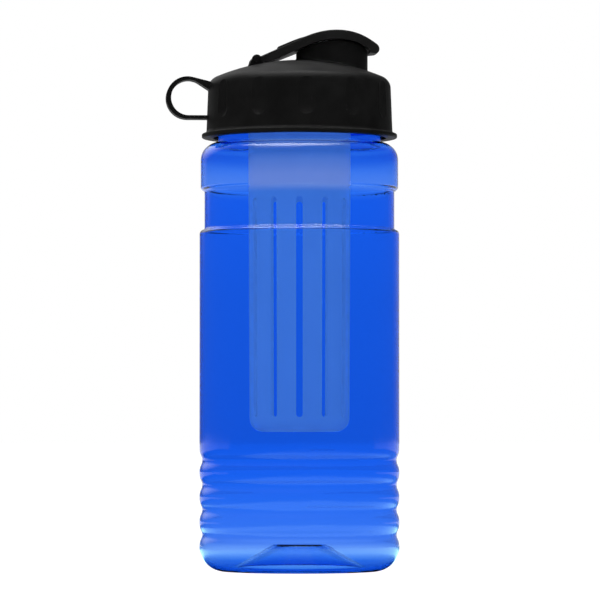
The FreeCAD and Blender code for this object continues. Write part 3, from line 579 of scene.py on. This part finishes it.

# %% [markdown]
# ## Black satin plastic
#
# The lid and the flip cap are one black moulding compound. The mould's surface is lightly eroded,
# so the plastic has a fine grain and a satin shine that is uneven where fingers have rubbed it.
# The flip cap gets a copy of the same black in paler greys, painted light that makes it brighter
# than the lid.
#
# In the picture the neck under the rim is as bright as the rest of the body, although the far
# side of the black skirt lies behind it. A ray that has come through clear plastic therefore
# passes the skirt. Light between matt surfaces passes the lid below its top, so that the upper
# end of the basket is lit as well, while the spout and the flip cap still shade what lies under
# them. Any other ray meets black plastic everywhere.

# %% Black satin plastic
SKIRT_SIGHT_TOP = 0.1775
LID_TOP = 0.1865
SMEARS_PER_METRE = 110.0
GRAIN_PER_METRE = 3000.0
LID_GREYS = (0.005, 0.009)
CAP_PAINTED_LIT_GREYS = (0.009, 0.013)


def pass_below(tree, shader, tops):
    """Rays of each kind go straight through below a height."""
    height = height_on_object(tree)
    clear = add_node(tree, "ShaderNodeBsdfTransparent").outputs["BSDF"]
    black = surface = shader.outputs["BSDF"]
    for kind, top in tops:
        clear_below = choose(tree, maths(tree, "LESS_THAN", height, top), black, clear)
        surface = choose(tree, ray_is(tree, (kind,)), surface, clear_below)
    join(tree, surface, surface_of(tree))


def black_finish(name, darkest, palest):
    """Black moulding compound between two greys."""
    finish, tree, shader = new_finish(name, Specular_IOR_Level=0.01)
    smears = noise(tree, SMEARS_PER_METRE, detail=4.0)
    soot = grey_ramp(tree, smears, ((0.3, darkest), (0.75, palest)))
    join(tree, soot, shader.inputs["Base Color"])
    grain = noise(tree, GRAIN_PER_METRE)
    bump(tree, shader, grain, strength=0.12, distance=0.0002)
    rough_between(tree, shader, smears, smooth=0.36, rough=0.48)
    tops = (("Is Transmission Ray", SKIRT_SIGHT_TOP), ("Is Diffuse Ray", LID_TOP))
    pass_below(tree, shader, tops)
    return finish


lid_black = black_finish("black_satin_plastic", *LID_GREYS)
# The flip cap's paler greys are painted light, on a copy of the same black.
cap_black_painted_lit = black_finish("black_plastic_painted_lit", *CAP_PAINTED_LIT_GREYS)
dress(lid_black, "lid")
dress(cap_black_painted_lit, "flip_cap")

# %% [markdown]
# ## Silicone and steel
#
# The gasket and the spout's seal are pale silicone, matt and a little waxy. The hinge pin is
# drawn wire, whose scratches run along it.

# %% Silicone and steel
DUST_PER_METRE = 700.0
WAX = ((0.35, (0.74, 0.75, 0.76)), (0.7, (0.82, 0.83, 0.84)))
SCRATCHES_PER_METRE = 6000.0
ALONG_PIN = (1.0, 0.02, 1.0)
WIRE = ((0.3, (0.52, 0.52, 0.53)), (0.7, (0.66, 0.66, 0.67)))

silicone, tree, shader = new_finish(
    "pale_silicone",
    Specular_IOR_Level=0.2,
    Subsurface_Weight=0.25,
    Subsurface_Radius=(0.002, 0.002, 0.0018),
)
dust = noise(tree, DUST_PER_METRE, detail=5.0)
join(tree, ramp_node(tree, dust, WAX), shader.inputs["Base Color"])
bump(tree, shader, dust, strength=0.1, distance=0.0003)
rough_between(tree, shader, dust, smooth=0.5, rough=0.65)
dress(silicone, "lid_gasket", "spout_seal")

steel, tree, shader = new_finish("drawn_steel", Metallic=1.0)
scratches = noise(tree, SCRATCHES_PER_METRE, ALONG_PIN)
join(tree, ramp_node(tree, scratches, WIRE), shader.inputs["Base Color"])
rough_between(tree, shader, scratches, smooth=0.22, rough=0.38)
dress(steel, "hinge_pin")

# %% [markdown]
# ## Screw threads
#
# The neck and the lid carry matching right-handed threads with a lead of 4 mm, the lead that the
# model's coupling gives the lid. At both ends the last rings of a thread are drawn down to the
# wall, so that it runs out as a moulded one does. This helper does that, ring by ring: it selects
# a ring by its distance from the wall and shrinks it towards that place.

# %% Run-out of a thread
LEAD = 0.004
STEPS_PER_TURN = 60
RUN_OUT = (0.08, 0.3, 0.55, 0.8)
RING_REACH = 0.0016


def run_out(thread, root, foot, turns):
    """Draw the rings at both ends down to the wall, most at the very end."""
    steps = round(STEPS_PER_TURN * turns)
    for count, share in enumerate(RUN_OUT):
        for ring in (count, steps - count):
            angle = 2 * math.pi * turns * ring / steps
            on_wall = Vector((root * math.cos(angle), root * math.sin(angle), 0.0))
            on_wall.z = foot + LEAD * turns * ring / steps
            bpy.ops.object.mode_set(mode="EDIT")
            bpy.ops.mesh.select_mode(type="VERT")
            bpy.ops.mesh.select_all(action="DESELECT")
            bpy.ops.object.mode_set(mode="OBJECT")
            for vertex in thread.data.vertices:
                vertex.select = (vertex.co - on_wall).length < RING_REACH
            bpy.ops.object.mode_set(mode="EDIT")
            bpy.ops.transform.resize(value=(share, share, share), center_override=on_wall)
            bpy.ops.object.mode_set(mode="OBJECT")


print("lead in mm:", 1000 * LEAD)

# %% [markdown]
# A thread is a helix that a small section sweeps out. A plane becomes the section: it is stood on
# edge and sized. The Screw modifier sweeps it round, the ends run out, and the two open ends are
# filled.

# %% Thread maker
THREAD_WIDTH = 0.0007
SMOOTH_ANGLE = math.radians(35.0)
MERGE_DISTANCE = 1e-6


def make_thread(name, root, crest, foot, turns, finish):
    """Helical thread that stands on a wall at the root radius and reaches to the crest radius."""
    bpy.ops.object.select_all(action="DESELECT")
    middle = ((root + crest) / 2, 0.0, foot)
    bpy.ops.mesh.primitive_plane_add(size=1.0, location=middle, rotation=(math.pi / 2, 0.0, 0.0))
    thread = bpy.context.object
    thread.name = name
    thread.scale = (abs(crest - root), THREAD_WIDTH, 1.0)
    bpy.ops.object.transform_apply(location=True, rotation=True, scale=True)
    bpy.ops.object.modifier_add(type="SCREW")
    screw = thread.modifiers[-1]
    screw.axis = "Z"
    screw.angle = 2 * math.pi * turns
    screw.screw_offset = LEAD * turns
    screw.steps = screw.render_steps = round(STEPS_PER_TURN * turns)
    bpy.ops.object.modifier_apply(modifier=screw.name)
    run_out(thread, root, foot, turns)
    bpy.ops.object.mode_set(mode="EDIT")
    bpy.ops.mesh.select_all(action="SELECT")
    bpy.ops.mesh.fill_holes(sides=4)
    bpy.ops.mesh.select_all(action="SELECT")
    bpy.ops.mesh.remove_doubles(threshold=MERGE_DISTANCE)
    bpy.ops.mesh.normals_make_consistent(inside=False)
    bpy.ops.object.mode_set(mode="OBJECT")
    bpy.ops.object.shade_smooth_by_angle(angle=SMOOTH_ANGLE)
    thread.data.materials.append(finish)
    return thread


print("width of a thread in mm:", 1000 * THREAD_WIDTH)

# %% [markdown]
# Two and a half turns on the neck start above the rim of the closed lid. The lid's thread lies
# half a lead above the neck's, so the two fit into each other at every turn. The neck's crest
# points outwards and the lid's inwards.

# %% Neck and lid threads
TURNS = 2.5
NECK_THREAD_FOOT = 0.1605
LID_THREAD_FOOT = NECK_THREAD_FOOT + LEAD / 2
NECK_ROOT, NECK_CREST = 0.02975, 0.0310
LID_ROOT, LID_CREST = 0.03165, 0.0304

neck_thread = make_thread(
    "neck_thread", NECK_ROOT, NECK_CREST, NECK_THREAD_FOOT, TURNS, blue_plastic
)
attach(neck_thread, "bottle")
lid_thread = make_thread("lid_thread", LID_ROOT, LID_CREST, LID_THREAD_FOOT, TURNS, lid_black)
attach(lid_thread, "lid")
for thread in (neck_thread, lid_thread):
    heights = sorted(round(1000 * vertex.co.z, 2) for vertex in thread.data.vertices)
    print(thread.name, "faces:", len(thread.data.polygons), "mm:", heights[0], "to", heights[-1])

# %% [markdown]
# ## Hinge covers
#
# The picture shows a round black boss at the end of the hinge and no metal. Each ear of the lid
# gets a low button over the pin's end: a short cylinder turned onto the hinge's axis, sunk a
# little into the ear, with all its edges rounded. It is modelled once, and a copy turned half
# round the hinge's middle covers the other ear.

# %% Hinge covers
HINGE_MIDDLE = Vector((-0.016199, 0.0, 0.186081))
EAR_FACE = 0.009
COVER_RADIUS, COVER_DEPTH, COVER_ROUND = 0.00135, 0.0006, 0.0003
COVER_SUNK = 0.00015
COVER_SIDES, ROUND_SEGMENTS = 48, 4

bpy.ops.object.select_all(action="DESELECT")
bpy.ops.mesh.primitive_cylinder_add(
    vertices=COVER_SIDES,
    radius=COVER_RADIUS,
    depth=COVER_DEPTH,
    location=HINGE_MIDDLE - Vector((0.0, EAR_FACE - COVER_SUNK + COVER_DEPTH / 2, 0.0)),
    rotation=(math.pi / 2, 0.0, 0.0),
)
front_cover = bpy.context.object
front_cover.name = "hinge_cover_front"
bpy.ops.object.transform_apply(location=True, rotation=True, scale=True)
bpy.ops.object.mode_set(mode="EDIT")
bpy.ops.mesh.select_all(action="SELECT")
bpy.ops.mesh.bevel(offset=COVER_ROUND, segments=ROUND_SEGMENTS)
bpy.ops.object.mode_set(mode="OBJECT")
bpy.ops.object.shade_smooth_by_angle(angle=SMOOTH_ANGLE)
front_cover.data.materials.append(lid_black)
bpy.ops.object.duplicate(linked=False)
back_cover = bpy.context.object
back_cover.name = "hinge_cover_back"
bpy.ops.transform.rotate(value=math.pi, orient_axis="Z", center_override=HINGE_MIDDLE)
bpy.ops.object.transform_apply(location=True, rotation=True, scale=True)
for cover in (front_cover, back_cover):
    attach(cover, "lid")
    depths = sorted(round(1000 * vertex.co.y, 2) for vertex in cover.data.vertices)
    print(cover.name, "faces:", len(cover.data.polygons), "mm:", depths[0], "to", depths[-1])
